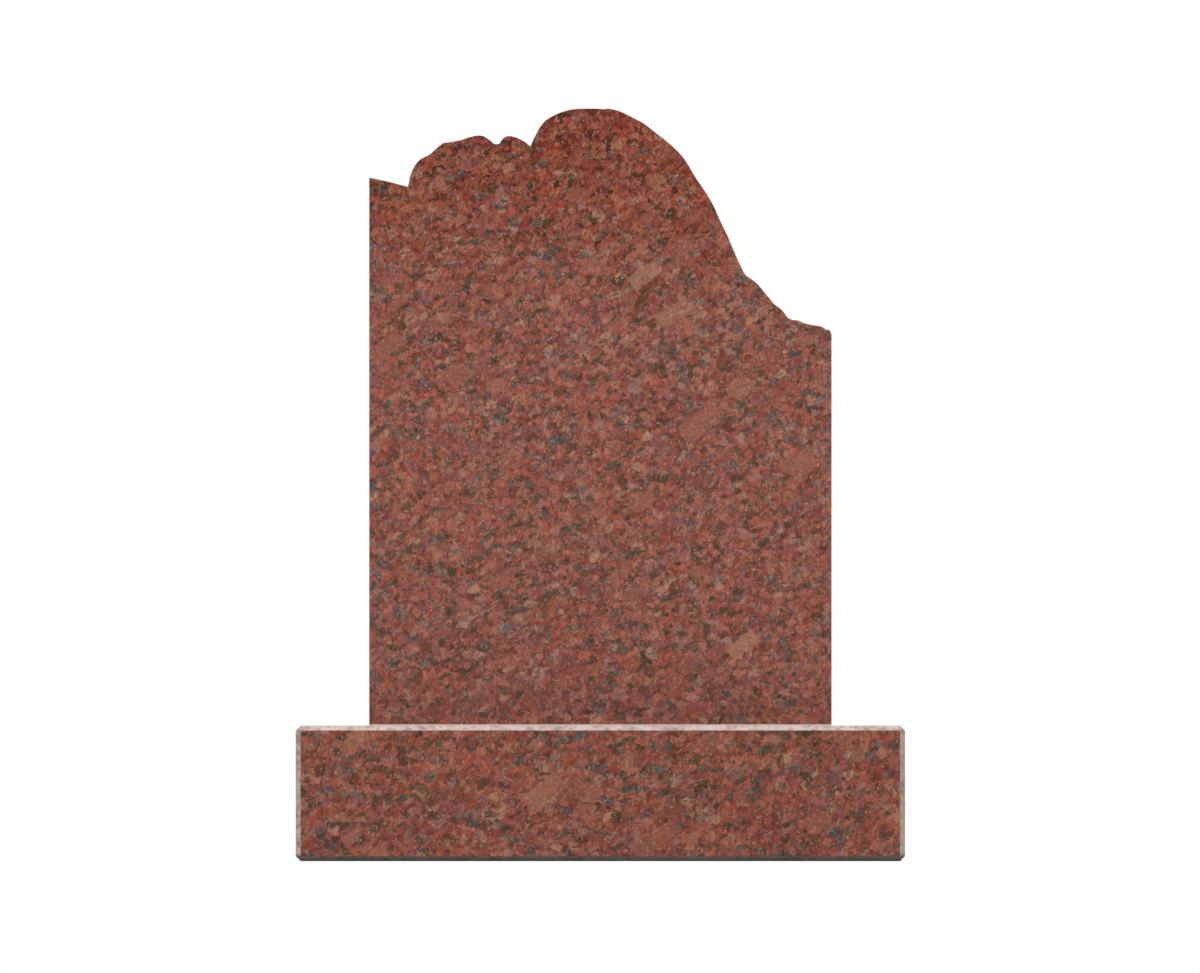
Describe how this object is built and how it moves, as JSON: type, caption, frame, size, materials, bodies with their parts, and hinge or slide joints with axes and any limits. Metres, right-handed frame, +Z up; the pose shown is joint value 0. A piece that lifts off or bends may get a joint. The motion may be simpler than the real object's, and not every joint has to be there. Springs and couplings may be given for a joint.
{
  "type": "upright granite headstone",
  "caption": "Upright granite headstone: a polished flat tablet with an irregular hand-dressed crest, bedded and dowelled on a chamfered base block.",
  "frame": {"origin": "centre of the base's underside", "axes": "+X to the reader's right, +Y to the back, +Z up"},
  "size_m": [0.8, 0.25, 0.988],
  "materials": {
    "tablet_granite": "polished faces, hand-dressed crest",
    "base_granite": "polished, with honed chamfers",
    "setting_compound": "matt",
    "dowel_steel": "brushed"
  },
  "bodies": {
    "root": {"base": "base_granite", "setting_bed": "setting_compound", "tablet": "tablet_granite", "dowel_left": "dowel_steel", "dowel_right": "dowel_steel"}
  },
  "joints": []
}
